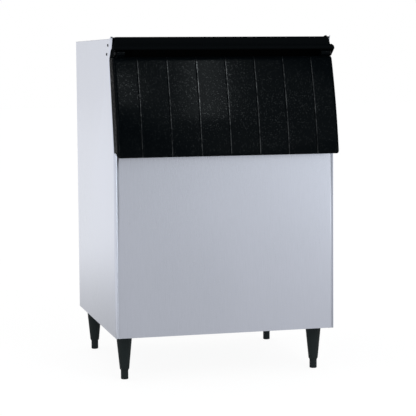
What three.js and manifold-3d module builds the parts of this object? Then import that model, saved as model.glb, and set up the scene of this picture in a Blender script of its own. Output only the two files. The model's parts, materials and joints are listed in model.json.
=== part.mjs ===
// An ice storage bin: an insulated cabinet on four adjustable legs, with a sloping lift-up door.
// Millimetres, +Z up, the front towards -Y. The origin is on the floor under the middle of the bin.
// Inside this file Y is counted back from the cabinet's front face; the whole group is centred at the end.

import * as THREE from 'three';
import { mergeVertices } from 'three/addons/utils/BufferGeometryUtils.js';
import Module from 'manifold-3d';

const wasm = await Module();
wasm.setup();

// Cabinet
const cabinetWidth = 762;
const cabinetDepth = 720;
const cabinetHeight = 994;
const floorClearance = 154;
const frontPanelHeight = 621;
const slopeSetback = 64.8;
const slopeDrop = 68;

// Sheet metal and general fits
const sheet = 1;
const baseSheet = 1.2;
const railSheet = 1.2;
const panelFlange = 20;
const frontFlange = 10;
const gap = 0.3;
const overrun = 5;
const mergeDistance = 0.0001;

// Ears at the top front of the side panels
const earTipBack = 30;
const earTipRise = 10;
const earTopBack = 52;
const earScrewPlaces = {
  upper: { back: 80, drop: 21.5 },
  lower: { back: 103, drop: 51 },
};

// Front panel: a face between the side flanges and a joggled tab behind each of them
const seamWidth = 4;
const seamDepth = 3;
const tabWidth = 13;
const panelReturn = 20;

// Tub, insulation and access opening
const wallInsulation = 43;
const linerWall = 4;
const linerTopFlange = 4;
const linerRearSpace = 47;
const linerFront = 47;
const linerFrontTop = 105.5;
const linerFloorRear = 54;
const linerFloorFall = 14;
const sumpLength = 103;
const foamInset = 1.5;
const tunnelDepth = 47;
const frameFace = 3;
const frameWall = 3;
const frameMargin = 3;
const frameTopMargin = 1;
const accessInset = 66;
const accessStart = 33;
const accessEndMargin = 45;
const tunnelLip = 2;

// Rail across the top, behind the header
const railFrontTop = 72;
const railFrontBottom = 70;
const railBack = 105;
const railHeight = 67;

// Header: face, nose and end cheeks
const headerRise = 5;
const headerWall = 3;
const headerInset = 7;
const headerTopInset = 10.5;
const headerFaceBack = 5;
const headerFaceDrop = 20.5;
const headerTopDepth = 90;
const headerFrontStrip = 22;
const noseInset = 1;
const noseReach = 16;
const noseRadius = 6.5;
const noseDrop = 31.5;
const noseSteps = 8;
const noseStartAngle = THREE.MathUtils.degToRad(105);
const noseEndAngle = THREE.MathUtils.degToRad(270);
const cheekTurnAngle = THREE.MathUtils.degToRad(215);
const cheekFootOut = 52;
const cheekClearance = 2.5;
const cheekCrownBack = 36;
const cheekCrownDrop = 18;
const earClearance = 0.8;
const headerScrewInset = 70.5;
const headerScrewSpacing = 190;
const headerScrewBack = 81;

// Door, measured along the slope and out from it
const doorInset = 1;
const doorRear = 1;
const doorBottom = -3;
const doorTopClearance = 3;
const doorWall = 3;
const doorBulge = 69;
const doorBulgeAt = 100;
const doorTopOut = 56.9;
const doorCornerRadius = 10;
const doorCornerSteps = 4;
const doorFaceSteps = 7;
const bevelLength = 9;
const bevelOut = 50;
const lipStart = -29;
const lipRadius = 5;
const lipSteps = 5;
const grooveCount = 7;
const grooveEndPanel = 80;
const grooveWidth = 3;
const grooveFloor = 1.2;
const grooveDepth = 1.5;
const innerCornerBack = 7;

// Inner panel, plug and gasket of the door
const innerPanelOut = 8;
const innerPanelWall = 2.5;
const plugDepth = 12;
const plugMargin = 12;
const gasketOverlap = 31;
const gasketStart = 9;
const gasketEndMargin = 9;
const gasketWidth = 14;
const gasketClearance = 0.4;

// Door pivot, lugs, pins and brackets
const pivotRise = 8;
const pivotOut = 60;
const lugRadius = 9;
const lugWidth = 26;
const lugClearance = 1;
const lugBackOut = 25;
const lugFrontOut = 51;
const lugStartAngle = THREE.MathUtils.degToRad(-60);
const lugEndAngle = THREE.MathUtils.degToRad(150);
const lugSteps = 9;
const lugSink = 2;
const pinRadius = 4;
const pinInset = 2;
const pinHeadRadius = 6.5;
const pinHeadLength = 3;
const bushInner = 4.3;
const bushOuter = 6;
const bushInset = 1;
const armInset = 14;
const armThickness = 3.3;
const armRadius = 8.5;
const armFront = 110;
const padFront = 72;
const padBack = 112;
const padBottomDrop = 64;
const padTopDrop = 12;
const armTopDrop = 8;

// Fasteners
const screwHeadRadius = 4.6;
const screwHeadHeight = 2.2;
const screwShankRadius = 2;
const screwHoleRadius = 2.3;
const screwLength = 10;
const headerScrewHeadRadius = 4;
const headerScrewLength = 13;
const headerCounterbore = 4.3;
const rearScrewInset = 60;
const screwSides = 12;

// Loose ice baffle and its guides
const baffleThickness = 4;
const baffleFront = 121.5;
const baffleHeight = 200;
const baffleDrop = 49;
const baffleFlange = 15;
const baffleFlangeSide = 9;
const guideDepth = 9;
const guideGrip = 5;
const guideSide = 4;
const guideStop = 4;
const guideSlack = 0.5;
const guideRise = 19;

// Drain
const drainInset = 90;
const drainOuter = 16.5;
const drainBore = 10.5;
const drainDrop = 42;
const drainFlangeRadius = 28;
const drainFlangeHeight = 3;
const drainNutRadius = 26.5;
const drainNutHeight = 12;
const grateRadius = 24;
const grateHeight = 2.5;
const grateSpigotOuter = 10.2;
const grateSpigotInner = 8.6;
const grateSpigotLength = 14;
const grateHoleRadius = 2;
const grateHoleCircle = 5.6;
const grateRingCircle = 16;
const grateRingCount = 12;
const drainSides = 24;

// Legs and levelling feet
const legInset = 45;
const legFront = 89;
const legRear = 60;
const legPlateWidth = 108;
const legPlateLength = 98;
const legPlateThickness = 3;
const legPlateEdge = 5;
const legTopRadius = 27;
const legBottomRadius = 16.4;
const legShoulderHeight = 39;
const legShoulderTurn = 35;
const legShoulderRadius = 15.6;
const legEndRadius = 14.2;
const legEndHeight = 30.5;
const legBoreRadius = 13;
const legBoreTop = 75;
const legThreadRadius = 6.2;
const legThreadTop = 140;
const footRadius = 12.7;
const footEdge = 2.5;
const footBarrelTop = 47;
const footStudRadius = 5.8;
const footStudTop = 112;
const legStudRadius = 6;
const legStudLength = 19;
const legHoleRadius = 6.4;
const legNutRadius = 11;
const legNutHeight = 11;
const legNutPocket = 13;
const legNutPocketHeight = 17;
const legSides = 20;

// Places worked out from the sizes above
const halfWidth = cabinetWidth / 2;
const cabinetBottom = floorClearance;
const cabinetTop = cabinetBottom + cabinetHeight;
const frontTop = cabinetBottom + frontPanelHeight;
const panelInside = halfWidth - sheet;
const rearInside = cabinetDepth - sheet;
const basePanTop = cabinetBottom + sheet + baseSheet;
const foamHalfWidth = panelInside - gap - foamInset;
const accessHalfWidth = halfWidth - accessInset;
const headerHalfWidth = halfWidth - headerInset;
const headerTopHalfWidth = halfWidth - headerTopInset;
const noseHalfWidth = halfWidth - noseInset;
const doorHalfWidth = halfWidth - doorInset;
const gasketHalfWidth = accessHalfWidth + gasketOverlap;
const armInner = halfWidth - armInset;
const armOuter = armInner + armThickness;
const lugOuter = armInner - lugClearance;
const lugInner = lugOuter - lugWidth;
const pinInner = lugInner + pinInset;
const groovePitch = 2 * (doorHalfWidth - grooveEndPanel) / (grooveCount - 1);
const headerScrewOuter = headerTopHalfWidth - headerScrewInset;
const headerScrewInner = headerScrewOuter - headerScrewSpacing;
const headerScrewPlaces = [-headerScrewOuter, -headerScrewInner, headerScrewInner, headerScrewOuter];
const linerHalfWidth = foamHalfWidth - wallInsulation;
const linerTop = cabinetTop - sheet;
const linerRear = cabinetDepth - linerRearSpace;
const sumpFloor = cabinetBottom + linerFloorRear;
const railBottom = cabinetTop - railHeight;
const headerTop = cabinetTop + headerRise;
const headerFaceBottom = headerTop - headerFaceDrop - headerRise;
const legTop = cabinetBottom - legPlateThickness;
const slopeRise = cabinetHeight - frontPanelHeight - slopeDrop;
const slopeAngle = Math.atan2(slopeSetback, slopeRise);
const slopeLength = Math.hypot(slopeSetback, slopeRise);
const accessEnd = slopeLength - accessEndMargin;
const doorTop = slopeLength - doorTopClearance;
const bevelStart = doorTop - bevelLength;
const gasketEnd = doorTop - gasketEndMargin;
const pivotAlong = slopeLength + pivotRise;
const drainBack = cabinetDepth - drainInset;
const earNotch = onSlope(slopeLength, 0);
const pivot = onSlope(pivotAlong, pivotOut);
const slopeMatrix = new THREE.Matrix4().makeRotationX(-slopeAngle).setPosition(0, 0, frontTop);

// Finishes
const stainless = new THREE.MeshStandardMaterial({ color: 0xc2c6cc, roughness: 0.38, metalness: 0.9 });
const zincSteel = new THREE.MeshStandardMaterial({ color: 0xa9adb0, roughness: 0.5, metalness: 0.8 });
const blackPlastic = new THREE.MeshStandardMaterial({ color: 0x101416, roughness: 0.55, metalness: 0 });
const legPlastic = new THREE.MeshStandardMaterial({ color: 0x1f2624, roughness: 0.6, metalness: 0 });
const tubPlastic = new THREE.MeshStandardMaterial({ color: 0xe9ebe8, roughness: 0.5, metalness: 0 });
const foamFill = new THREE.MeshStandardMaterial({ color: 0xd9c48c, roughness: 0.95, metalness: 0 });
const sealRubber = new THREE.MeshStandardMaterial({ color: 0x2b2d2e, roughness: 0.8, metalness: 0 });
const bushPlastic = new THREE.MeshStandardMaterial({ color: 0x1c1e20, roughness: 0.6, metalness: 0 });
const darkSteel = new THREE.MeshStandardMaterial({ color: 0x3a3d40, roughness: 0.4, metalness: 0.9 });
const blackSteel = new THREE.MeshStandardMaterial({ color: 0x141617, roughness: 0.55, metalness: 0.2 });

// The point [y, z] that lies so far up the slope and so far out from it
function onSlope(along, out) {
  const y = along * Math.sin(slopeAngle) - out * Math.cos(slopeAngle);
  const z = frontTop + along * Math.cos(slopeAngle) + out * Math.sin(slopeAngle);
  return [y, z];
}

// The height at which a plane, a depth behind the slope, is so far back
function slopeHeight(back, depth) {
  return frontTop + (back - depth / Math.cos(slopeAngle)) / Math.tan(slopeAngle);
}

// How far the door's bowed face stands out from the slope
function doorFace(along) {
  const share = (along - doorBulgeAt) / (bevelStart - doorBulgeAt);
  return doorBulge - (doorBulge - doorTopOut) * share ** 2;
}

// A closed solid from a geometry with shared corners
function solid(geometry) {
  const bare = geometry.index ? geometry.toNonIndexed() : geometry.clone();
  bare.deleteAttribute('normal');
  bare.deleteAttribute('uv');
  const merged = mergeVertices(bare, mergeDistance);
  return new wasm.Manifold(new wasm.Mesh({
    numProp: 3,
    vertProperties: merged.attributes.position.array,
    triVerts: new Uint32Array(merged.index.array),
  }));
}

function join(...solids) {
  return solids.reduce((whole, next) => whole.add(next));
}

function cut(body, ...tools) {
  return tools.reduce((left, tool) => left.subtract(tool), body);
}

function addPiece(parent, name, body, finish) {
  const made = body.getMesh();
  const geometry = new THREE.BufferGeometry();
  geometry.setAttribute('position', new THREE.BufferAttribute(made.vertProperties, made.numProp));
  geometry.setIndex(new THREE.BufferAttribute(made.triVerts, 1));
  const mesh = new THREE.Mesh(geometry, finish);
  mesh.name = name;
  parent.add(mesh);
}

function boxGeometry([x0, x1], [y0, y1], [z0, z1]) {
  const geometry = new THREE.BoxGeometry(x1 - x0, y1 - y0, z1 - z0);
  return geometry.translate((x0 + x1) / 2, (y0 + y1) / 2, (z0 + z1) / 2);
}

function box(xs, ys, zs) {
  return solid(boxGeometry(xs, ys, zs));
}

// A box given in the slope's own frame, placed in the cabinet's
function slopedBox(xs, ys, zs) {
  return solid(boxGeometry(xs, ys, zs).applyMatrix4(slopeMatrix));
}

// The span from a to b on the side given by 1 (right) or -1 (left)
function span(side, a, b) {
  return side > 0 ? [a, b] : [-b, -a];
}

function shapeOf(points) {
  return new THREE.Shape(points.map(([a, b]) => new THREE.Vector2(a, b)));
}

// An outline of [y, z] points extruded along X
function prismX(points, [x0, x1]) {
  const geometry = new THREE.ExtrudeGeometry(shapeOf(points), { depth: x1 - x0, bevelEnabled: false });
  const turn = new THREE.Matrix4().makeBasis(
    new THREE.Vector3(0, 1, 0),
    new THREE.Vector3(0, 0, 1),
    new THREE.Vector3(1, 0, 0),
  );
  return solid(geometry.applyMatrix4(turn).translate(x0, 0, 0));
}

// An outline of [x, y] points extruded along Z
function prismZ(points, [z0, z1]) {
  const geometry = new THREE.ExtrudeGeometry(shapeOf(points), { depth: z1 - z0, bevelEnabled: false });
  return solid(geometry.translate(0, 0, z0));
}

function cylinderX(radius, [x0, x1], y, z, sides) {
  const geometry = new THREE.CylinderGeometry(radius, radius, x1 - x0, sides);
  return solid(geometry.rotateZ(Math.PI / 2).translate((x0 + x1) / 2, y, z));
}

function cylinderY(radius, x, [y0, y1], z, sides) {
  const geometry = new THREE.CylinderGeometry(radius, radius, y1 - y0, sides);
  return solid(geometry.translate(x, (y0 + y1) / 2, z));
}

function cylinderZ(radius, x, y, [z0, z1], sides) {
  const geometry = new THREE.CylinderGeometry(radius, radius, z1 - z0, sides);
  return solid(geometry.rotateX(Math.PI / 2).translate(x, y, (z0 + z1) / 2));
}

// A turned solid on a vertical axis, from [radius, z] points that start and end on the axis
function turned(points, x, y, sides) {
  const profile = points.map(([radius, z]) => new THREE.Vector2(radius, z));
  const geometry = new THREE.LatheGeometry(profile, sides);
  return solid(geometry.rotateX(Math.PI / 2).translate(x, y, 0));
}

// The same outline, moved in by a distance on every edge; it runs clockwise
function inset(points, distance) {
  return points.map((point, i) => {
    const before = points.at(i - 1);
    const after = points[(i + 1) % points.length];
    const arriving = new THREE.Vector2(point[0] - before[0], point[1] - before[1]).normalize();
    const leaving = new THREE.Vector2(after[0] - point[0], after[1] - point[1]).normalize();
    const reach = distance / (1 + arriving.dot(leaving));
    const y = point[0] + (arriving.y + leaving.y) * reach;
    const z = point[1] - (arriving.x + leaving.x) * reach;
    return [y, z];
  });
}

// Points on an arc about [a, b], from one angle to another
function arc([a, b], radius, from, to, steps) {
  return Array.from({ length: steps + 1 }, (_, i) => {
    const angle = from + (to - from) * i / steps;
    return [a + radius * Math.cos(angle), b + radius * Math.sin(angle)];
  });
}

// A solid through a row of anticlockwise [y, z] outlines with equal numbers of points, each at its own x
function loft(stations) {
  const size = stations[0].outline.length;
  const positions = stations.flatMap(({ x, outline }) => outline.flatMap(([y, z]) => [x, y, z]));
  const index = [];
  for (let i = 0; i + 1 < stations.length; i += 1) {
    for (let j = 0; j < size; j += 1) {
      const next = (j + 1) % size;
      const [a, b, c, d] = [i * size + j, i * size + next, (i + 1) * size + next, (i + 1) * size + j];
      index.push(a, b, c, a, c, d);
    }
  }
  const last = (stations.length - 1) * size;
  for (const [k, outline] of [[0, stations[0].outline], [last, stations.at(-1).outline]]) {
    const contour = outline.map(([y, z]) => new THREE.Vector2(y, z));
    for (const [a, b, c] of THREE.ShapeUtils.triangulateShape(contour, [])) {
      index.push(...(k === 0 ? [a, c, b] : [a + k, b + k, c + k]));
    }
  }
  const geometry = new THREE.BufferGeometry();
  geometry.setAttribute('position', new THREE.Float32BufferAttribute(positions, 3));
  geometry.setIndex(index);
  return solid(geometry);
}

const bin = new THREE.Group();
const slope = new THREE.Group();
slope.applyMatrix4(slopeMatrix);
bin.add(slope);

const sides = [['left', -1], ['right', 1]];
const corners = [
  [-1, legFront],
  [1, legFront],
  [-1, cabinetDepth - legRear],
  [1, cabinetDepth - legRear],
].map(([side, back]) => ({ side, x: side * (halfWidth - legInset), back }));

// Side panels: a sheet with its edges folded in all round
const sideOutline = [
  [0, cabinetBottom],
  [0, frontTop],
  earNotch,
  [earTipBack, cabinetTop + earTipRise],
  [earTopBack, cabinetTop],
  [cabinetDepth, cabinetTop],
  [cabinetDepth, cabinetBottom],
];

function earScrewPlace({ back, drop }) {
  return [back, cabinetTop - drop];
}

function sidePanel(side) {
  const tray = cut(
    prismX(sideOutline, span(side, halfWidth - panelFlange, halfWidth)),
    prismX(inset(sideOutline, sheet), span(side, halfWidth - panelFlange - overrun, panelInside)),
  );
  const trimmed = span(side, halfWidth - panelFlange - overrun, halfWidth - frontFlange);
  const frontTrim = box(trimmed, [-overrun, sheet], [cabinetBottom - overrun, frontTop]);
  const earTrim = box(trimmed, [-overrun, earNotch[0] + sheet], [earNotch[1], headerTop + overrun]);
  const earHoles = Object.values(earScrewPlaces).map((place) => {
    const [y, z] = earScrewPlace(place);
    return cylinderX(screwHoleRadius, span(side, panelInside - overrun, halfWidth + overrun), y, z, screwSides);
  });
  const rearHoles = rearScrewHeights.map((z) => {
    const reach = [rearInside - overrun, cabinetDepth + overrun];
    return cylinderY(screwHoleRadius, side * rearScrewX, reach, z, screwSides);
  });
  return cut(tray, frontTrim, earTrim, ...earHoles, ...rearHoles);
}

const rearScrewX = halfWidth - panelFlange / 2;
const rearScrewHeights = [cabinetBottom + rearScrewInset, cabinetTop - rearScrewInset];

for (const [name, side] of sides) {
  addPiece(bin, `${name}_side_panel`, sidePanel(side), stainless);
}

// Front panel: its face lies flush with the side flanges across a narrow seam
function frontPanel() {
  const faceEdge = halfWidth - frontFlange - seamWidth;
  const tabEdge = faceEdge - sheet + tabWidth;
  const halfSection = [
    [faceEdge, 0],
    [faceEdge, seamDepth],
    [tabEdge, seamDepth],
    [tabEdge, seamDepth + sheet],
    [faceEdge - sheet, seamDepth + sheet],
    [faceEdge - sheet, sheet],
  ];
  const mirrored = halfSection.map(([x, y]) => [-x, y]).reverse();
  const face = join(
    prismZ([...halfSection, ...mirrored], [cabinetBottom + sheet, frontTop]),
    box([-faceEdge, faceEdge], [0, sheet], [cabinetBottom, frontTop]),
  );
  const returns = [[cabinetBottom, cabinetBottom + sheet], [frontTop - sheet, frontTop]].map((heights) => {
    const reach = halfWidth - panelFlange - gap;
    return box([-reach, reach], [0, panelReturn], heights);
  });
  return join(face, ...returns);
}

addPiece(bin, 'front_panel', frontPanel(), stainless);

// Rear panel, held inside the side panels' rear flanges
function rearPanel() {
  const half = panelInside - gap;
  const deckHalf = halfWidth - panelFlange - gap;
  const back = box([-half, half], [rearInside - sheet, rearInside], [basePanTop + gap, linerTop]);
  const deck = box([-deckHalf, deckHalf], [rearInside - panelFlange, rearInside], [linerTop, cabinetTop]);
  const holes = sides.flatMap(([, side]) => rearScrewHeights.map((z) => {
    const reach = [rearInside - overrun, rearInside + overrun];
    return cylinderY(screwHoleRadius, side * rearScrewX, reach, z, screwSides);
  }));
  return cut(join(back, deck), ...holes);
}

addPiece(bin, 'rear_panel', rearPanel(), zincSteel);

const rearScrews = sides.flatMap(([, side]) => rearScrewHeights.map((z) => [side * rearScrewX, z]));
rearScrews.forEach(([x, z], i) => {
  const shank = cylinderY(screwShankRadius, x, [cabinetDepth - screwLength, cabinetDepth], z, screwSides);
  const head = cylinderY(screwHeadRadius, x, [cabinetDepth, cabinetDepth + screwHeadHeight], z, screwSides);
  addPiece(bin, `rear_screw_${i + 1}`, join(shank, head), zincSteel);
});

// Base pan, with its edges turned up inside the panels
function basePan() {
  const half = panelInside - gap;
  const front = seamDepth + sheet + gap;
  const back = rearInside - sheet - gap;
  const bottom = cabinetBottom + sheet;
  const block = box([-half, half], [front, back], [bottom, bottom + panelReturn]);
  const hollow = box(
    [-half + baseSheet, half - baseSheet],
    [front + baseSheet, back - baseSheet],
    [basePanTop, bottom + panelReturn + overrun],
  );
  const legHoles = corners.map(({ x, back: y }) => (
    cylinderZ(legHoleRadius, x, y, [cabinetBottom, basePanTop + overrun], screwSides)));
  const drainHole = cylinderZ(drainOuter + gap, 0, drainBack, [cabinetBottom, basePanTop + overrun], drainSides);
  return cut(block, hollow, ...legHoles, drainHole);
}

addPiece(bin, 'base_pan', basePan(), zincSteel);

// Rail: a channel that opens to the front
function frontRail() {
  const half = armInner - gap;
  const section = [
    [railFrontTop, cabinetTop],
    [railBack, cabinetTop],
    [railBack, railBottom],
    [railFrontBottom, railBottom],
    [railFrontBottom, railBottom + railSheet],
    [railBack - railSheet, railBottom + railSheet],
    [railBack - railSheet, cabinetTop - railSheet],
    [railFrontTop, cabinetTop - railSheet],
  ];
  const holes = headerScrewPlaces.map((x) => (
    cylinderZ(screwHoleRadius, x, headerScrewBack, [cabinetTop - overrun, cabinetTop + overrun], screwSides)));
  const notches = sides.map(([, side]) => box(
    span(side, halfWidth - panelFlange - gap, halfWidth),
    [0, railBack + gap],
    [cabinetTop - railSheet - gap, cabinetTop + overrun],
  ));
  return cut(prismX(section, [-half, half]), ...holes, ...notches);
}

addPiece(bin, 'front_rail', frontRail(), blackSteel);

// Tub
function linerOutline(top) {
  return [
    [linerFront, sumpFloor + linerFloorFall],
    [linerFront, slopeHeight(linerFront, tunnelDepth)],
    [linerFrontTop, slopeHeight(linerFrontTop, tunnelDepth)],
    [linerFrontTop, top],
    [linerRear, top],
    [linerRear, sumpFloor],
    [linerRear - sumpLength, sumpFloor],
  ];
}

// The access opening's passage through the tub and the insulation, with a clearance all round
function passage(clearance) {
  const half = accessHalfWidth + frameWall + clearance;
  const start = accessStart - frameWall - clearance;
  const end = accessEnd + frameWall + clearance;
  return slopedBox([-half, half], [-overrun, tunnelDepth + linerFront], [start, end]);
}

function liner() {
  const half = linerHalfWidth;
  const tub = prismX(linerOutline(linerTop), [-half, half]);
  const flangeHalf = panelInside - gap;
  const flange = box(
    [-flangeHalf, flangeHalf],
    [linerFrontTop, rearInside - sheet - gap],
    [linerTop - linerTopFlange, linerTop],
  );
  const hollow = prismX(
    inset(linerOutline(linerTop + linerWall + overrun), linerWall),
    [-half + linerWall, half - linerWall],
  );
  const drainHole = cylinderZ(drainOuter + gap, 0, drainBack, [cabinetBottom, sumpFloor + overrun], drainSides);
  return cut(join(tub, flange), hollow, passage(gap), drainHole);
}

addPiece(bin, 'liner', liner(), tubPlastic);

// Frame that lines the access opening and faces the door
function accessFrame() {
  const faceHalf = halfWidth - panelFlange - frameMargin;
  const outerHalf = accessHalfWidth + frameWall;
  const outerSpan = [accessStart - frameWall, accessEnd + frameWall];
  const face = box([-faceHalf, faceHalf], [0, frameFace], [frameMargin, slopeLength - frameTopMargin]);
  const tube = box([-outerHalf, outerHalf], [0, tunnelDepth + linerWall + tunnelLip], outerSpan);
  const bore = box(
    [-accessHalfWidth, accessHalfWidth],
    [-overrun, tunnelDepth + linerFront],
    [accessStart, accessEnd],
  );
  return cut(join(face, tube), bore);
}

addPiece(slope, 'access_frame', accessFrame(), tubPlastic);

// Insulation poured between the tub and the panels
function cabinetFoam() {
  const front = seamDepth + sheet + gap + foamInset;
  const rear = rearInside - sheet - gap - foamInset;
  const faceDepth = frameFace + gap;
  const underRail = railBottom - gap;
  const behindRail = railBack + gap;
  const underFlange = linerTop - linerTopFlange - gap;
  const outline = [
    [front, basePanTop + gap],
    [front, slopeHeight(front, faceDepth)],
    [(underRail - slopeHeight(0, faceDepth)) * Math.tan(slopeAngle), underRail],
    [behindRail, underRail],
    [behindRail, underFlange],
    [rear, underFlange],
    [rear, basePanTop + gap],
  ];
  const block = prismX(outline, [-foamHalfWidth, foamHalfWidth]);
  const tubHalf = linerHalfWidth + gap;
  const tubSpace = prismX(inset(linerOutline(cabinetTop + overrun), -gap), [-tubHalf, tubHalf]);
  const returnHalf = halfWidth;
  const returnSpace = box(
    [-returnHalf, returnHalf],
    [0, panelReturn + gap],
    [frontTop - sheet - gap, frontTop + gap],
  );
  const padSpaces = sides.map(([, side]) => box(
    span(side, armInner - gap, halfWidth),
    [padFront, padBack + gap],
    [cabinetTop - padBottomDrop - gap, cabinetTop - armTopDrop + gap],
  ));
  const nutSpaces = corners.map(({ x, back }) => (
    cylinderZ(legNutPocket, x, back, [cabinetBottom, basePanTop + legNutPocketHeight], screwSides)));
  const drainSpace = cylinderZ(drainOuter + gap, 0, drainBack, [cabinetBottom, sumpFloor + overrun], drainSides);
  const screwSpaces = rearScrews.map(([x, z]) => (
    cylinderY(screwHoleRadius, x, [cabinetDepth - screwLength - gap, cabinetDepth], z, screwSides)));
  return cut(
    block, tubSpace, passage(gap), returnSpace, ...padSpaces, ...nutSpaces, drainSpace, ...screwSpaces);
}

addPiece(bin, 'cabinet_foam', cabinetFoam(), foamFill);

// Header: a face, a rounded nose under it and a cheek at each end; it is open below and behind
const noseCentre = [noseRadius - noseReach, cabinetTop - noseDrop];

// The front of the ears, at a height and with a clearance in front of it
function earFront(z) {
  const share = (z - earNotch[1]) / (cabinetTop + earTipRise - earNotch[1]);
  return earNotch[0] + (earTipBack - earNotch[0]) * share - earClearance;
}

function header() {
  const innerNose = noseRadius - headerWall;
  const inside = headerFaceBack + headerWall;
  const underside = headerTop - headerWall;
  const noseSection = [
    [headerFaceBack, headerTop],
    [headerFaceBack, headerFaceBottom],
    ...arc(noseCentre, noseRadius, noseStartAngle, noseEndAngle, noseSteps),
    ...arc(noseCentre, innerNose, noseEndAngle, noseStartAngle, noseSteps),
    [inside, headerFaceBottom],
    [inside, headerTop],
  ];
  const noseHeight = [noseCentre[1] - noseRadius, headerFaceBottom];
  const nose = prismX(noseSection, [-noseHalfWidth, noseHalfWidth]).subtract(box(
    [-noseHalfWidth - overrun, noseHalfWidth + overrun],
    [-noseReach, inside + overrun],
    [headerFaceBottom, headerTop + overrun],
  ));
  const face = box(
    [-headerHalfWidth, headerHalfWidth], [headerFaceBack, inside], [noseHeight[1] - headerWall, headerTop]);
  const strip = box(
    [-headerHalfWidth, headerHalfWidth],
    [headerFaceBack, headerFaceBack + headerFrontStrip],
    [underside, headerTop],
  );
  const top = box([-headerTopHalfWidth, headerTopHalfWidth], [inside, headerTopDepth], [underside, headerTop]);
  const foot = box(
    [-headerTopHalfWidth, headerTopHalfWidth],
    [railFrontTop, headerTopDepth],
    [cabinetTop + gap, headerTop],
  );
  return join(nose, face, strip, top, foot, ...sides.flatMap(([, side]) => [cheek(side), endWall(side)]));
}

// The closed end of the nose, from the nose down to the top of the door
function cheek(side) {
  const foot = slopeLength - earClearance;
  const outline = [
    [headerFaceBack, headerFaceBottom],
    ...arc(noseCentre, noseRadius, noseStartAngle, cheekTurnAngle, noseSteps),
    onSlope(foot + cheekClearance, cheekFootOut),
    onSlope(foot, cheekFootOut - cheekClearance),
    onSlope(foot, earClearance),
    [cheekCrownBack, headerFaceBottom - cheekCrownDrop],
  ];
  return prismX(outline, span(side, noseHalfWidth - headerWall, noseHalfWidth));
}

// The closed end of the face, in front of the ear
function endWall(side) {
  const outline = [
    [headerFaceBack, headerFaceBottom - headerWall],
    [headerFaceBack, headerTop],
    [earFront(headerTop), headerTop],
    [earFront(headerFaceBottom - headerWall), headerFaceBottom - headerWall],
  ];
  return prismX(outline, span(side, headerHalfWidth - headerWall, headerHalfWidth));
}

const headerScrewSpaces = headerScrewPlaces.flatMap((x) => [
  cylinderZ(
    headerCounterbore, x, headerScrewBack, [headerTop - screwHeadHeight - gap, headerTop + overrun], screwSides),
  cylinderZ(screwHoleRadius, x, headerScrewBack, [cabinetTop - overrun, headerTop], screwSides),
]);
addPiece(bin, 'top_header', cut(header(), ...headerScrewSpaces), blackPlastic);

headerScrewPlaces.forEach((x, i) => {
  const profile = [
    [0, headerTop - headerScrewLength],
    [screwShankRadius, headerTop - headerScrewLength],
    [screwShankRadius, headerTop - screwHeadHeight],
    [headerScrewHeadRadius, headerTop - gap],
    [headerScrewHeadRadius, headerTop],
    [0, headerTop],
  ];
  addPiece(bin, `header_screw_${i + 1}`, turned(profile, x, headerScrewBack, screwSides), darkSteel);
});

// Hinge brackets: a pad against the ear and an arm forward to the pivot
function hingeBracket(side) {
  const armOutline = [
    ...arc(pivot, armRadius, Math.PI / 2, Math.PI * 3 / 2, lugSteps),
    [earNotch[0], cabinetTop - padBottomDrop],
    [armFront, cabinetTop - padBottomDrop],
    [armFront, cabinetTop - padTopDrop],
    [earNotch[0], cabinetTop - armTopDrop],
  ];
  const arm = prismX(armOutline, span(side, armInner, armOuter));
  const padHeights = [cabinetTop - padBottomDrop, cabinetTop - padTopDrop];
  const pad = box(span(side, armInner, panelInside - gap), [padFront, padBack], padHeights);
  const screwHoles = Object.values(earScrewPlaces).map((place) => {
    const [y, z] = earScrewPlace(place);
    return cylinderX(screwHoleRadius, span(side, armInner - overrun, halfWidth), y, z, screwSides);
  });
  const pinHole = cylinderX(
    pinRadius + gap, span(side, armInner - overrun, armOuter + overrun), ...pivot, screwSides);
  return cut(join(arm, pad), ...screwHoles, pinHole);
}

// Pins, in the slope's frame
function hingePin(side) {
  const shank = cylinderX(pinRadius, span(side, pinInner, armOuter + gap), -pivotOut, pivotAlong, screwSides);
  const headSpan = span(side, armOuter + gap, armOuter + gap + pinHeadLength);
  return join(shank, cylinderX(pinHeadRadius, headSpan, -pivotOut, pivotAlong, screwSides));
}

function hingeBush(side) {
  const outer = cylinderX(bushOuter, span(side, lugInner + bushInset, lugOuter), -pivotOut, pivotAlong, screwSides);
  const bore = cylinderX(
    bushInner, span(side, lugInner - overrun, lugOuter + overrun), -pivotOut, pivotAlong, screwSides);
  return outer.subtract(bore);
}

for (const [name, side] of sides) {
  addPiece(bin, `hinge_bracket_${name}`, hingeBracket(side), blackSteel);
  addPiece(slope, `hinge_pin_${name}`, hingePin(side), darkSteel);
  addPiece(slope, `hinge_bush_${name}`, hingeBush(side), bushPlastic);
  for (const [level, place] of Object.entries(earScrewPlaces)) {
    const [y, z] = earScrewPlace(place);
    const shank = cylinderX(screwShankRadius, span(side, halfWidth - screwLength, halfWidth), y, z, screwSides);
    const head = cylinderX(screwHeadRadius, span(side, halfWidth, halfWidth + screwHeadHeight), y, z, screwSides);
    addPiece(bin, `ear_screw_${name}_${level}`, join(shank, head), darkSteel);
  }
}

// How far up the slope the door's level underside is, so far out from it
function doorUnderside(out) {
  return doorBottom - out * Math.tan(slopeAngle);
}

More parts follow.
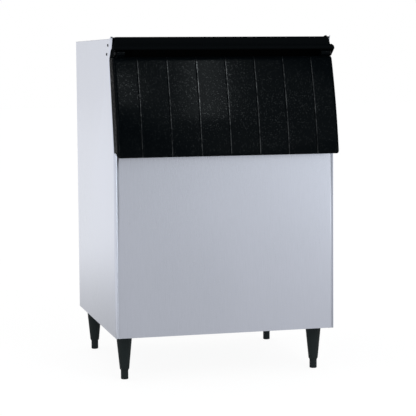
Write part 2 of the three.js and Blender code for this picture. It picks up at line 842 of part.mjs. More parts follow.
// The door's outline in the slope's frame, anticlockwise: moved in by an inset, and its face set back.
// A lip that is given as a number is a pull lip, lifted by that much.
function doorOutline({ inset: margin, rear, back, lip }) {
  const hasLip = lip !== undefined;
  const top = doorTop - margin;
  const underside = doorUnderside(doorFace(doorBottom) - margin - back) + margin;
  const faceEnd = hasLip ? lipStart + lipRadius + lip : underside;
  const points = [[rear, doorUnderside(rear) + margin], [rear, top], [bevelOut - margin - back, top]];
  for (let i = 0; i <= doorFaceSteps; i += 1) {
    const along = bevelStart - margin + (faceEnd - bevelStart + margin) * i / doorFaceSteps;
    points.push([doorFace(along) - margin - back, along]);
  }
  if (hasLip) {
    const middle = doorFace(faceEnd) - back - lipRadius;
    points.push(...arc([middle, faceEnd], lipRadius, 0, -Math.PI, lipSteps).slice(1));
    points.push([middle - lipRadius, doorUnderside(middle - lipRadius)]);
  }
  return points.map(([out, along]) => [-out, along]);
}

// Where the door's outlines stand across its width, how far each one's face is set back and its lip lifted
function doorStations() {
  const corner = Array.from({ length: doorCornerSteps + 1 }, (_, i) => {
    const angle = Math.PI / 2 * i / doorCornerSteps;
    const back = doorCornerRadius * (1 - Math.sin(angle));
    return { x: -doorHalfWidth + doorCornerRadius * (1 - Math.cos(angle)), back, lip: back };
  });
  const grooves = Array.from({ length: grooveCount }, (_, i) => {
    const middle = (i - (grooveCount - 1) / 2) * groovePitch;
    return [
      { x: middle - grooveWidth / 2, back: 0, lip: 0 },
      { x: middle - grooveFloor / 2, back: grooveDepth, lip: 0 },
      { x: middle + grooveFloor / 2, back: grooveDepth, lip: 0 },
      { x: middle + grooveWidth / 2, back: 0, lip: 0 },
    ];
  }).flat();
  const mirrored = corner.map((station) => ({ ...station, x: -station.x })).reverse();
  return [...corner, ...grooves, ...mirrored];
}

// The space inside the door's shell, moved in by a margin, from a plane behind its face
function doorFill(margin, rear) {
  const side = doorHalfWidth - doorWall - margin;
  const shoulder = side - innerCornerBack;
  const stations = [
    { x: -side, back: innerCornerBack },
    { x: -shoulder, back: 0 },
    { x: shoulder, back: 0 },
    { x: side, back: innerCornerBack },
  ];
  return loft(stations.map(({ x, back }) => (
    { x, outline: doorOutline({ inset: doorWall + margin, rear, back }) })));
}

function doorLug(side) {
  const centre = [pivotOut, pivotAlong];
  const outline = [
    [lugBackOut, doorTop - lugSink],
    [lugFrontOut, doorTop - lugSink],
    ...arc(centre, lugRadius, lugStartAngle, lugEndAngle, lugSteps),
  ].map(([out, along]) => [-out, along]);
  const bore = cylinderX(
    bushOuter + gap, span(side, lugInner - overrun, lugOuter + overrun), -pivotOut, pivotAlong, screwSides);
  return prismX(outline, span(side, lugInner, lugOuter)).subtract(bore);
}

function doorSkin() {
  const shell = loft(doorStations().map(({ x, back, lip }) => (
    { x, outline: doorOutline({ inset: 0, rear: doorRear, back, lip }) })));
  return join(cut(shell, doorFill(0, -overrun)), ...sides.map(([, side]) => doorLug(side)));
}

addPiece(slope, 'door_skin', doorSkin(), blackPlastic);

// Inner panel, with a shallow plug that enters the access opening
const plugHalf = accessHalfWidth - plugMargin;
const plugSpan = [accessStart + plugMargin, accessEnd - plugMargin];
const innerPanelFront = innerPanelOut + innerPanelWall;

function shrunk([low, high], margin) {
  return [low + margin, high - margin];
}

function doorLiner() {
  const half = doorHalfWidth - doorWall - gap;
  const along = [doorUnderside(innerPanelOut) + doorWall + gap, doorTop - doorWall - gap];
  const plate = box([-half, half], [-innerPanelFront, -innerPanelOut], along);
  const plug = box([-plugHalf, plugHalf], [-innerPanelFront, plugDepth], plugSpan);
  const hollow = box(
    shrunk([-plugHalf, plugHalf], innerPanelWall),
    [-innerPanelFront - overrun, plugDepth - innerPanelWall],
    shrunk(plugSpan, innerPanelWall),
  );
  return cut(join(plate, plug), hollow);
}

addPiece(slope, 'door_liner', doorLiner(), blackPlastic);

function doorFoam() {
  const margin = innerPanelWall + gap;
  const plug = box(
    shrunk([-plugHalf, plugHalf], margin),
    [-innerPanelFront - overrun, plugDepth - margin],
    shrunk(plugSpan, margin),
  );
  return join(doorFill(gap, innerPanelFront + gap), plug);
}

addPiece(slope, 'door_foam', doorFoam(), foamFill);

function doorGasket() {
  const depth = [-innerPanelOut + gap, -gasketClearance];
  const outer = box([-gasketHalfWidth, gasketHalfWidth], depth, [gasketStart, gasketEnd]);
  const inner = box(
    shrunk([-gasketHalfWidth, gasketHalfWidth], gasketWidth),
    [-innerPanelOut - overrun, overrun],
    shrunk([gasketStart, gasketEnd], gasketWidth),
  );
  return cut(outer, inner);
}

addPiece(slope, 'door_gasket', doorGasket(), sealRubber);

// Loose baffle, hanging in a guide on each side wall of the tub
const tubInside = linerHalfWidth - linerWall;
const baffleBase = frontTop - baffleDrop;

function baffleGuide(side) {
  const inner = tubInside - gap - guideDepth;
  const outer = tubInside - gap;
  const front = baffleFront - guideSlack;
  const back = baffleFront + baffleThickness + guideSlack;
  const heights = [baffleBase - gap - guideStop, baffleBase + baffleHeight + guideRise];
  const body = box(span(side, inner, outer), [front - guideSide, back + guideSide], heights);
  const slot = box(
    span(side, inner - overrun, inner + guideGrip + guideSlack), [front, back], [baffleBase - gap, heights[1] + overrun]);
  return cut(body, slot);
}

function iceBaffle() {
  const inner = tubInside - gap - guideDepth;
  const half = inner + guideGrip;
  const top = baffleBase + baffleHeight;
  const plate = box([-half, half], [baffleFront, baffleFront + baffleThickness], [baffleBase, top]);
  const flangeHalf = half - baffleFlangeSide;
  const rim = box(
    [-flangeHalf, flangeHalf],
    [baffleFront, baffleFront + baffleThickness + baffleFlange],
    [top - baffleThickness, top],
  );
  return join(plate, rim);
}

for (const [name, side] of sides) {
  addPiece(bin, `baffle_guide_${name}`, baffleGuide(side), tubPlastic);
}
addPiece(bin, 'ice_baffle', iceBaffle(), tubPlastic);

// Drain through the floor of the tub
const tubFloor = sumpFloor + linerWall;
const drainTop = tubFloor + drainFlangeHeight;
const drainEnd = cabinetBottom - drainDrop;
const drainThrough = [drainEnd - overrun, drainTop + overrun];

function drainFitting() {
  const tube = cylinderZ(drainOuter, 0, drainBack, [drainEnd, drainTop], drainSides);
  const collar = cylinderZ(drainFlangeRadius, 0, drainBack, [tubFloor, drainTop], drainSides);
  return cut(join(tube, collar), cylinderZ(drainBore, 0, drainBack, drainThrough, drainSides));
}

function drainNut() {
  const top = cabinetBottom + sheet;
  const nut = cylinderZ(drainNutRadius, 0, drainBack, [top - drainNutHeight, top], 6);
  return nut.subtract(cylinderZ(drainOuter + gap, 0, drainBack, drainThrough, drainSides));
}

function drainGrate() {
  const heights = [drainTop, drainTop + grateHeight];
  const disc = cylinderZ(grateRadius, 0, drainBack, heights, drainSides);
  const spigotHeights = [drainTop - grateSpigotLength, drainTop + grateHeight / 2];
  const spigot = cylinderZ(grateSpigotOuter, 0, drainBack, spigotHeights, drainSides).subtract(
    cylinderZ(grateSpigotInner, 0, drainBack, drainThrough, drainSides));
  const holes = [[grateHoleCircle, 6], [grateRingCircle, grateRingCount]].flatMap(([circle, count]) => (
    Array.from({ length: count }, (_, i) => {
      const angle = 2 * Math.PI * i / count;
      const [x, y] = [circle * Math.cos(angle), drainBack + circle * Math.sin(angle)];
      return cylinderZ(grateHoleRadius, x, y, drainThrough, 8);
    })));
  return cut(join(disc, spigot), ...holes);
}

addPiece(bin, 'drain_fitting', drainFitting(), blackPlastic);
addPiece(bin, 'drain_nut', drainNut(), blackPlastic);
addPiece(bin, 'drain_grate', drainGrate(), tubPlastic);

// Legs, each with its corner plate, weld nut and levelling foot
function legPlate({ side, x, back }, isRear) {
  const outer = halfWidth - legPlateEdge;
  const y0 = isRear ? back + legPlateLength / 2 - legPlateLength : back - legPlateLength / 2;
  const plate = box(span(side, outer - legPlateWidth, outer), [y0, y0 + legPlateLength], [legTop, cabinetBottom]);
  return plate.subtract(cylinderZ(legHoleRadius, x, back, [legTop - overrun, cabinetBottom + overrun], screwSides));
}

function leg({ x, back }) {
  const profile = [
    [0, legThreadTop],
    [legThreadRadius, legThreadTop],
    [legThreadRadius, legBoreTop],
    [legBoreRadius, legBoreTop],
    [legBoreRadius, legEndHeight],
    [legEndRadius, legEndHeight],
    [legShoulderRadius, legShoulderTurn],
    [legBottomRadius, legShoulderHeight],
    [legTopRadius, legTop],
    [legStudRadius, legTop],
    [legStudRadius, legTop + legStudLength],
    [0, legTop + legStudLength],
  ];
  return turned(profile, x, back, legSides);
}

function foot({ x, back }) {
  const profile = [
    [0, 0],
    [footRadius - footEdge, 0],
    [footRadius - footEdge * (1 - Math.SQRT1_2), footEdge * (1 - Math.SQRT1_2)],
    [footRadius, footEdge],
    [footRadius, footBarrelTop],
    [footStudRadius, footBarrelTop],
    [footStudRadius, footStudTop],
    [0, footStudTop],
  ];
  return turned(profile, x, back, legSides);
}

function legNut({ x, back }) {
  const heights = [basePanTop, basePanTop + legNutHeight];
  const bore = cylinderZ(legHoleRadius, x, back, [cabinetBottom, cabinetTop], screwSides);
  return cylinderZ(legNutRadius, x, back, heights, 6).subtract(bore);
}

corners.forEach((corner, i) => {
  const isRear = i > 1;
  addPiece(bin, `leg_plate_${i + 1}`, legPlate(corner, isRear), zincSteel);
  addPiece(bin, `leg_nut_${i + 1}`, legNut(corner), zincSteel);
  addPiece(bin, `leg_${i + 1}`, leg(corner), legPlastic);
  addPiece(bin, `foot_${i + 1}`, foot(corner), legPlastic);
});

// The front of the door's lip and the rear screws' heads are the bin's front and back: centre it between them
const doorReach = doorOutline({ inset: 0, rear: doorRear, back: 0, lip: 0 }).map(([y, along]) => (
  onSlope(along, -y)[0]));
const binFront = Math.min(...doorReach);
const binBack = cabinetDepth + screwHeadHeight;
bin.position.y = -(binFront + binBack) / 2;

export default bin;
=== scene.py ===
import json

import bmesh
import bpy
import numpy as np
from mathutils import Matrix, Quaternion, Vector

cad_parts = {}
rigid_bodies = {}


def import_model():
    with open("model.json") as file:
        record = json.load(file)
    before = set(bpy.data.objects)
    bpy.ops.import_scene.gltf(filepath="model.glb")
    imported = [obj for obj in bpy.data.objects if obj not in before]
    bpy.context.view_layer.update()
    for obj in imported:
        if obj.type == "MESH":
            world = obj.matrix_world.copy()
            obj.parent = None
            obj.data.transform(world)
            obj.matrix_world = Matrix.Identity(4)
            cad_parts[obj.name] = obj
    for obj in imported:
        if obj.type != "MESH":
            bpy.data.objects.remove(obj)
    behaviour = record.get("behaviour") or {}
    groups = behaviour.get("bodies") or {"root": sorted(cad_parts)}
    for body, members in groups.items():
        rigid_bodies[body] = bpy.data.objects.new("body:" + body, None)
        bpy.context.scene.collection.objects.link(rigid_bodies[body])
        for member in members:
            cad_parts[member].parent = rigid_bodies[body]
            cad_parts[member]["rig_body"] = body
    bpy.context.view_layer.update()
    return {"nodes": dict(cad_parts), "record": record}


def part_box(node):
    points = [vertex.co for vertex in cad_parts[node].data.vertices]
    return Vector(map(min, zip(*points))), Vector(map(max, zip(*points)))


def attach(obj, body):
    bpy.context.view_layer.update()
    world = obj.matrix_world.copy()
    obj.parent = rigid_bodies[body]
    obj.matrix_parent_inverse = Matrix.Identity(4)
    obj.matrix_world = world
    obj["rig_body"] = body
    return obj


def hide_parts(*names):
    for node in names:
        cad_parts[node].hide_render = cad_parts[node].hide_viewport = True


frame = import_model()
print("loaded", len(frame["nodes"]), "nodes")

# Places that everything else is worked out from. The slope is the cabinet's upper front, behind the door.
sideLow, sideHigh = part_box("left_side_panel")
frontLow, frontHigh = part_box("front_panel")
halfWidth = -sideLow.x
frontPlane = frontLow.y
slope = {"setback": 0.0648, "drop": 0.068, "earRise": 0.010, "earBack": 0.030, "earTopBack": 0.052}
cabinetTop = sideHigh.z - slope["earRise"]
cabinetBottom = sideLow.z
slopeRise = cabinetTop - slope["drop"] - frontHigh.z
slopeAngle = np.arctan2(slope["setback"], slopeRise)
slopeLength = np.hypot(slope["setback"], slopeRise)
sides = ((-1, "Left"), (1, "Right"))
oneToFour = range(1, 5)


# The y and z that lie so far up the slope and so far out from it: a turn by the slope's angle
def onSlope(along, out):
    y = frontPlane + along * np.sin(slopeAngle) - out * np.cos(slopeAngle)
    z = frontHigh.z + along * np.cos(slopeAngle) + out * np.sin(slopeAngle)
    return y, z


class Signal:
    # A shader socket that takes part in Python sums
    def __init__(self, finish, socket):
        self.finish = finish
        self.socket = socket

    def maths(self, operation, first, second):
        return self.finish.node("ShaderNodeMath", {"operation": operation}, {0: first, 1: second})

    def __add__(self, other):
        return self.maths("ADD", self, other)

    def __radd__(self, other):
        return self.maths("ADD", other, self)

    def __sub__(self, other):
        return self.maths("SUBTRACT", self, other)

    def __rsub__(self, other):
        return self.maths("SUBTRACT", other, self)

    def __mul__(self, other):
        return self.maths("MULTIPLY", self, other)

    def __rmul__(self, other):
        return self.maths("MULTIPLY", other, self)


class Finish:
    # A new material or world under construction: one method makes every node
    def __init__(self, owner):
        self.owner = owner
        self.owner.use_nodes = True
        self.tree = owner.node_tree
        self.tree.nodes.clear()

    def node(self, kind, settings=None, sockets=None, output=0):
        made = self.tree.nodes.new(kind)
        for key, value in (settings or {}).items():
            setattr(made, key, value)
        for key, value in (sockets or {}).items():
            if isinstance(value, Signal):
                self.tree.links.new(value.socket, made.inputs[key])
            else:
                made.inputs[key].default_value = value
        return Signal(self, made.outputs[output]) if made.outputs else None

    # Places on the piece, stretched
    def place(self, stretch=(1, 1, 1)):
        coordinates = self.node("ShaderNodeTexCoord", output="Object")
        return self.node("ShaderNodeMapping", {}, {"Vector": coordinates, "Scale": stretch})

    def noise(self, scale, stretch=(1, 1, 1), detail=3.0, roughness=0.5):
        return self.node("ShaderNodeTexNoise", {}, {
            "Vector": self.place(stretch), "Scale": scale, "Detail": detail, "Roughness": roughness})

    def cells(self, scale, output="Distance"):
        return self.node("ShaderNodeTexVoronoi", {}, {"Vector": self.place(), "Scale": scale}, output)

    # A number of its own for each cell
    def cellNumbers(self, scale):
        return self.node("ShaderNodeSeparateColor", {}, {"Color": self.cells(scale, "Color")}, "Red")

    # A smooth step from 0 to 1 while the value goes from low to high
    def ramp(self, value, low, high):
        return self.node("ShaderNodeMapRange", {"interpolation_type": "SMOOTHSTEP"}, {
            "Value": value, "From Min": low, "From Max": high})

    def mix(self, factor, first, second):
        return self.node("ShaderNodeMix", {"data_type": "RGBA"}, {0: factor, 6: first, 7: second}, 2)

    # One colour that goes over to the other between a pair of values
    def fade(self, value, ends, first, second):
        return self.mix(self.ramp(value, *ends), first, second)

    # The parts of a place or direction along each of the named axes
    def parts(self, vector, axes):
        return [self.node("ShaderNodeSeparateXYZ", {}, {0: vector}, axis) for axis in axes]

    def bump(self, height, strength, distance):
        return self.node("ShaderNodeBump", {}, {"Height": height, "Strength": strength, "Distance": distance})

    def surface(self, sockets):
        shader = self.node("ShaderNodeBsdfPrincipled", {}, sockets)
        self.node("ShaderNodeOutputMaterial", {}, {"Surface": shader})
        return self.owner


# A display colour from 0 to 255 in each channel, as the linear colour that a shader takes
def colour(red, green, blue):
    share = np.array([red, green, blue]) / 255
    linear = np.where(share <= 0.04045, share / 12.92, ((share + 0.055) / 1.055) ** 2.4)
    return (*linear.tolist(), 1.0)


def grey(tone):
    return (tone, tone, tone, 1.0)


# Stainless steel, brushed upright: long streaks in two sizes, and broad faint clouds
stainlessLook = {
    "bright": colour(217, 221, 234), "deep": colour(206, 211, 223),
    "grain": {"scale": 55, "stretch": (30, 30, 0.35), "detail": 4, "roughness": 0.6},
    "fine": {"scale": 240, "stretch": (12, 12, 0.12), "detail": 3, "roughness": 0.6},
    "clouds": {"scale": 2.2, "stretch": (1, 1, 0.8), "detail": 2},
    "fineShare": 0.4, "cloudShare": 0.3, "toneEnds": (0.35, 0.65),
    "roughness": 0.2, "streakRoughness": 0.12, "cloudRoughness": 0.06,
    "bumpStrength": 0.12, "bumpDepth": 0.0004,
}


def makeStainless():
    look = stainlessLook
    finish = Finish(bpy.data.materials.new("brushedStainless"))
    grain = finish.noise(**look["grain"])
    fine = finish.noise(**look["fine"])
    clouds = finish.noise(**look["clouds"])
    streak = grain * (1 - look["fineShare"]) + fine * look["fineShare"]
    tone = streak * (1 - look["cloudShare"]) + clouds * look["cloudShare"]
    return finish.surface({
        "Base Color": finish.fade(tone, look["toneEnds"], look["deep"], look["bright"]),
        "Metallic": 1.0,
        "Roughness": look["roughness"] + streak * look["streakRoughness"] + clouds * look["cloudRoughness"],
        "Normal": finish.bump(streak, look["bumpStrength"], look["bumpDepth"]),
    })


# Zinc-coated steel: crystals of slightly different grey
zincLook = {"bright": colour(205, 208, 210), "deep": colour(176, 181, 184), "crystals": 95, "clouds": 9,
            "cloudShare": 0.3, "roughness": 0.42, "crystalRoughness": 0.12, "bumpStrength": 0.08,
            "bumpDepth": 0.0003}


def makeZincSteel():
    look = zincLook
    finish = Finish(bpy.data.materials.new("zincCoatedSteel"))
    shade = finish.cellNumbers(look["crystals"])
    clouds = finish.noise(look["clouds"])
    tone = shade * (1 - look["cloudShare"]) + clouds * look["cloudShare"]
    return finish.surface({
        "Base Color": finish.mix(tone, look["deep"], look["bright"]),
        "Metallic": 1.0,
        "Roughness": look["roughness"] + shade * look["crystalRoughness"],
        "Normal": finish.bump(shade, look["bumpStrength"], look["bumpDepth"]),
    })


# Black plastic with a pebble grain: some pebbles and the groove edges are glossier than the rest, and both carry a
# lighter base colour as well: painted sparkle on the pebbles, painted highlight along the groove edges
doorLook = {
    # The lighter groove-edge colour is a painted highlight, and the lighter speck colour a painted sparkle
    "base": colour(5, 9, 12), "paintedSparkle": colour(27, 32, 34), "paintedEdgeHighlight": colour(30, 34, 37),
    "grain": 400, "wander": 180, "patches": 7, "patchEnds": (0.35, 0.65),
    "speckWander": 0.5, "speckEnds": (0.72, 0.46), "patchShare": 0.12, "fleckEnds": (0.86, 1.0),
    "broken": {"scale": 190, "stretch": (1, 1, 0.3), "detail": 4, "roughness": 0.75}, "brokenEnds": (0.35, 0.65),
    "roughness": 0.2, "wanderRoughness": 0.12,
    "gloss": 0.055, "glossRoughness": 0.13, "glint": 0.62, "edgeGlint": 1.1,
    "pebbleShare": 0.8, "bumpStrength": 0.04, "bumpDepth": 0.0006,
}
# On the header the speck colour is only a shade lighter than the base: a faint painted sparkle
headerLook = {**doorLook, "base": colour(10, 13, 15), "paintedSparkle": colour(13, 16, 18), "roughness": 0.5,
              "gloss": 0.02, "glossRoughness": 0.5, "glint": 0.02, "edgeGlint": 0}


def makePebbledBlack(name, look):
    finish = Finish(bpy.data.materials.new(name))
    pebbles = finish.cells(look["grain"])
    wander = finish.noise(look["wander"], detail=2)
    chance = finish.cellNumbers(look["grain"])
    patches = finish.ramp(finish.noise(look["patches"]), *look["patchEnds"])
    speck = finish.ramp(pebbles + wander * look["speckWander"], *look["speckEnds"])
    # Specks: glossier pebbles that also get a lighter base colour, which is a painted sparkle
    flecks = finish.ramp(chance + patches * look["patchShare"], *look["fleckEnds"]) * speck
    # The groove-edge mask lightens the base colour there: a painted highlight, broken up by noise, on top of the
    # edges' extra gloss
    highlightAndGlossEdge = finish.node("ShaderNodeAttribute", {"attribute_name": "highlightAndGlossEdge"}, output="Fac")
    edge = highlightAndGlossEdge * finish.ramp(finish.noise(**look["broken"]), *look["brokenEnds"])
    relief = (1 - pebbles) * look["pebbleShare"] + wander * (1 - look["pebbleShare"])
    return finish.surface({
        "Base Color": finish.mix(edge, finish.mix(flecks, look["base"], look["paintedSparkle"]), look["paintedEdgeHighlight"]),
        "Roughness": look["roughness"] + wander * look["wanderRoughness"],
        "Specular IOR Level": 0,
        "Coat Weight": flecks * look["glint"] + edge * look["edgeGlint"] + look["gloss"],
        "Coat Roughness": look["glossRoughness"],
        "Normal": finish.bump(relief, look["bumpStrength"], look["bumpDepth"]),
    })


# Plain plastics, rubber and paint: a fine skin over clouds that are slightly darker
plainLook = {"base": colour(128, 128, 128), "roughness": 0.5, "specular": 0.5, "skin": 260, "skinRoughness": 0.1,
             "clouds": 6, "cloudEnds": (0.3, 0.7), "cloudDark": 0.86, "bumpStrength": 0.08, "bumpDepth": 0.0005}
legLook = {**plainLook, "base": colour(40, 47, 48), "roughness": 0.55, "specular": 0.12, "skin": 300}
tubLook = {**plainLook, "base": colour(232, 235, 233), "roughness": 0.38}
rubberLook = {**plainLook, "base": colour(40, 42, 43), "roughness": 0.7, "specular": 0.3, "skin": 500,
              "bumpStrength": 0.15}
bushLook = {**plainLook, "base": colour(30, 32, 34), "specular": 0.2}
# Very dark black paint for the rail and hinge brackets: its darkness is partly painted shade, standing in for the
# shade in the recess under the header
recessShadePaintLook = {**plainLook, "base": colour(9, 11, 12), "roughness": 0.55, "specular": 0.03, "skin": 500,
             "bumpStrength": 0.04}


def makePlain(name, look):
    finish = Finish(bpy.data.materials.new(name))
    skin = finish.noise(look["skin"])
    clouds = finish.noise(look["clouds"])
    darker = (*(channel * look["cloudDark"] for channel in look["base"][:3]), 1.0)
    return finish.surface({
        "Base Color": finish.fade(clouds, look["cloudEnds"], darker, look["base"]),
        "Roughness": look["roughness"] + skin * look["skinRoughness"],
        "Specular IOR Level": look["specular"],
        "Normal": finish.bump(skin, look["bumpStrength"], look["bumpDepth"]),
    })


foamLook = {"bright": colour(226, 206, 150), "deep": colour(196, 172, 112), "cells": 320, "clouds": 12,
            "cloudDetail": 4, "roughness": 0.85, "cellRoughness": 0.1, "bumpStrength": 0.4, "bumpDepth": 0.001}


def makeFoam():
    look = foamLook
    finish = Finish(bpy.data.materials.new("pouredFoam"))
    cells = finish.cells(look["cells"])
    clouds = finish.noise(look["clouds"], detail=look["cloudDetail"])
    return finish.surface({
        "Base Color": finish.mix(clouds, look["deep"], look["bright"]),
        "Roughness": look["roughness"] + cells * look["cellRoughness"],
        "Normal": finish.bump(cells, look["bumpStrength"], look["bumpDepth"]),
    })


darkSteelLook = {"bright": colour(62, 64, 66), "deep": colour(34, 36, 38), "scuffs": 420, "scuffDetail": 4,
                 "metallic": 0.8, "roughness": 0.34, "scuffRoughness": 0.2, "bumpStrength": 0.1,
                 "bumpDepth": 0.0002}


def makeDarkSteel():
    look = darkSteelLook
    finish = Finish(bpy.data.materials.new("blackenedSteel"))
    scuffs = finish.noise(look["scuffs"], detail=look["scuffDetail"])
    return finish.surface({
        "Base Color": finish.mix(scuffs, look["deep"], look["bright"]),
        "Metallic": look["metallic"],
        "Roughness": look["roughness"] + scuffs * look["scuffRoughness"],
        "Normal": finish.bump(scuffs, look["bumpStrength"], look["bumpDepth"]),
    })


materials = {
    "stainless": makeStainless(),
    "zinc_steel": makeZincSteel(),
    "black_plastic": makePebbledBlack("pebbledBlack", doorLook),
    "leg_plastic": makePlain("satinLegPlastic", legLook),
    "tub_plastic": makePlain("tubPlastic", tubLook),
    "foam": makeFoam(),
    "seal_rubber": makePlain("sealRubber", rubberLook),
    "bush_plastic": makePlain("bushPlastic", bushLook),
    "black_steel": makePlain("blackPaintAndRecessShade", recessShadePaintLook),
    "dark_steel": makeDarkSteel(),
}
headerBlack = makePebbledBlack("mattPebbledBlack", headerLook)
slotOf = {part["node"]: part["material_slot"] for part in frame["record"]["subparts"]}
for nodeName, nodeObject in frame["nodes"].items():
    nodeObject.data.materials.clear()
    nodeObject.data.materials.append(materials[slotOf[nodeName]])
print("materials are on all the carried-over nodes")

# Mesh making: distances in metres, angles in degrees
meshing = {"doubles": 1e-6, "digits": 7, "flatAngle": 1.0, "smoothAngle": 32.0, "foldAngle": 40.0,
           "screwAngle": 38.0, "edgeAngle": 40.0, "edgeSegments": 2}


# Four-sided faces over a grid of rows and columns of points, the columns joined round where closed
def gridFaces(rows, columns, closed=False):
    row = np.arange(rows - 1)[:, None] * columns
    column = np.arange(columns if closed else columns - 1)[None, :]
    after = (column + 1) % columns
    corners = [row + column, row + after, row + columns + after, row + columns + column]
    return np.stack(np.broadcast_arrays(*corners), -1).reshape(-1, 4)


# One mesh from an array of points and lists of faces, doubles merged, facing outwards
def addPiece(name, points, faces, replaced, smoothAngle=meshing["smoothAngle"], values=None):
    mesh = bpy.data.meshes.new(name)
    mesh.from_pydata(np.asarray(points, float).reshape(-1, 3).tolist(), [], [list(face) for face in faces])
    for key, numbers in (values or {}).items():
        mesh.attributes.new(key, "FLOAT", "POINT").data.foreach_set("value", np.asarray(numbers, np.float32))
    work = bmesh.new()
    work.from_mesh(mesh)
    bmesh.ops.remove_doubles(work, verts=work.verts, dist=meshing["doubles"])
    bmesh.ops.recalc_face_normals(work, faces=work.faces)
    work.to_mesh(mesh)
    work.free()
    return placePiece(name, mesh, replaced, smoothAngle)


# The mesh as a piece that stands for one CAD node, with its body and its finish
def placePiece(name, mesh, replaced, smoothAngle=meshing["smoothAngle"]):
    mesh.materials.clear()
    mesh.materials.append(materials[slotOf[replaced]])
    mesh.polygons.foreach_set("use_smooth", np.ones(len(mesh.polygons), bool))
    mesh.set_sharp_from_angle(angle=np.radians(smoothAngle))
    piece = bpy.data.objects.new(name, mesh)
    bpy.context.scene.collection.objects.link(piece)
    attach(piece, frame["nodes"][replaced]["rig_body"])
    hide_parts(replaced)
    return piece


def roundEdges(piece, width):
    bevel = piece.modifiers.new("rounded edges", "BEVEL")
    bevel.width = width
    bevel.segments = meshing["edgeSegments"]
    bevel.limit_method = "ANGLE"
    bevel.angle_limit = np.radians(meshing["edgeAngle"])
    bevel.miter_outer = "MITER_ARC"
    bevel.harden_normals = True


def thicken(piece, thickness, isEven=True):
    wall = piece.modifiers.new("wall", "SOLIDIFY")
    wall.thickness = thickness
    wall.offset = -1
    wall.use_even_offset = isEven


# A copy of a CAD node with its flat faces joined up and its edges rounded
def softened(node, width):
    mesh = frame["nodes"][node].data.copy()
    mesh.name = node + "-rounded"
    work = bmesh.new()
    work.from_mesh(mesh)
    bmesh.ops.remove_doubles(work, verts=work.verts, dist=meshing["doubles"])
    bmesh.ops.dissolve_limit(
        work, angle_limit=np.radians(meshing["flatAngle"]), verts=work.verts, edges=work.edges)
    work.to_mesh(mesh)
    work.free()
    piece = placePiece(node + "-rounded", mesh, node)
    roundEdges(piece, width)
    return piece


# Points on part of a circle, centre + radius (cos, sin), with the angles in degrees
def arcPoints(centre, radius, start, end, steps):
    angle = np.radians(np.linspace(start, end, steps + 1))
    circle = radius * np.stack([np.cos(angle), np.sin(angle)], -1)
    return np.asarray(centre)[..., None, :] + circle


# Door: a bowed shell with rounded sides, grooves and a pull lip. Places beside a groove are in groove widths from
# its middle.
door = {
    "halfWidth": halfWidth - 0.001, "rear": 0.001, "bottom": -0.003, "top": slopeLength - 0.003, "wall": 0.003,
    "bulge": 0.069, "bulgeAt": 0.100, "topOut": 0.0569, "bevelLength": 0.009, "bevelOut": 0.050,
    "bendStart": 0.001, "bendEnd": 0.3, "crownStart": 0.75, "crownEnd": 0.003,
    "corner": 0.010, "cornerFlats": (0.0012, 0.012), "lipStart": -0.029, "lipRadius": 0.005,
    "grooveCount": 7, "grooveEnd": 0.080, "grooveWidth": 0.0034, "grooveDepth": 0.0016,
    "beforeGroove": (-1.4, -1.0, -0.75), "afterGroove": (0.62, 0.8, 1.0, 1.4),
    "highlightEdgeAt": (0.3, 0.5, 0.62, 1.0, 1.4), "highlightEdgeShare": (0, 0.8, 1, 0.9, 0),
    "lugWidth": 0.026, "lugInset": 0.015, "lugRadius": 0.009, "lugBack": 0.025, "lugFront": 0.051,
    "lugFoot": 0.002, "lugTurn": (-60, 150), "lugEdge": 0.0005,
    "pivotRise": 0.008, "pivotOut": 0.060, "bushRadius": 0.0063,
    "undersidePoints": 6, "lipSteps": 12, "facePoints": 40, "bendPoints": 6, "topPoints": 5, "cornerPoints": 9,
    "groovePoints": 9, "lugTurnSteps": 28, "lugSidePoints": 12,
}
bevelStart = door["top"] - door["bevelLength"]


# How far the face stands out: its bulge less a square law of the distance from the bulge
def doorFace(along):
    share = (along - door["bulgeAt"]) / (bevelStart - door["bulgeAt"])
    return door["bulge"] - (door["bulge"] - door["topOut"]) * share ** 2


# Part of a parabola for each set of three points: (1 - s)^2 first + 2 s (1 - s) corner + s^2 last
def curvePoints(first, corner, last):
    share = np.linspace(0, 1, door["bendPoints"])[:, None]
    first, corner, last = (point[:, None, :] for point in (first, corner, last))
    return (1 - share) ** 2 * first + 2 * share * (1 - share) * corner + share ** 2 * last


# The open outlines [out, along], one for each set-back and lift: from the rear of the level underside, whose place
# up the slope falls by out tan(slope), round the lip, up the face and back along the top, with a bend at each corner
def doorProfiles(backs, lifts):
    column = np.ones(len(backs))
    radius = door["lipRadius"]
    low = door["lipStart"] + radius + lifts
    middle = doorFace(low) - backs - radius
    under = np.linspace(door["rear"] * column, middle - radius, door["undersidePoints"], axis=-1)
    along = np.linspace(low, (bevelStart - door["bendStart"]) * column, door["facePoints"], axis=-1)
    face = np.stack([doorFace(along) - backs[:, None], along], -1)
    bevel = np.stack([doorFace(bevelStart) - backs, bevelStart * column], -1)
    shoulder = np.stack([door["bevelOut"] - backs, door["top"] * column], -1)
    bendEnd = bevel + (shoulder - bevel) * door["bendEnd"]
    crownStart = bevel + (shoulder - bevel) * door["crownStart"]
    crownEnd = shoulder - np.array([door["crownEnd"], 0])
    top = np.linspace(crownEnd[:, 0], door["rear"] * column, door["topPoints"], axis=-1)[:, 1:]
    return np.concatenate([
        np.stack([under, door["bottom"] - under * np.tan(slopeAngle)], -1),
        arcPoints(np.stack([middle, low], -1), radius, -180, 0, door["lipSteps"]),
        face[:, 1:],
        curvePoints(face[:, -1], bevel, bendEnd)[:, 1:],
        curvePoints(crownStart, shoulder, crownEnd),
        np.stack([top, np.full(top.shape, door["top"])], -1),
    ], 1)
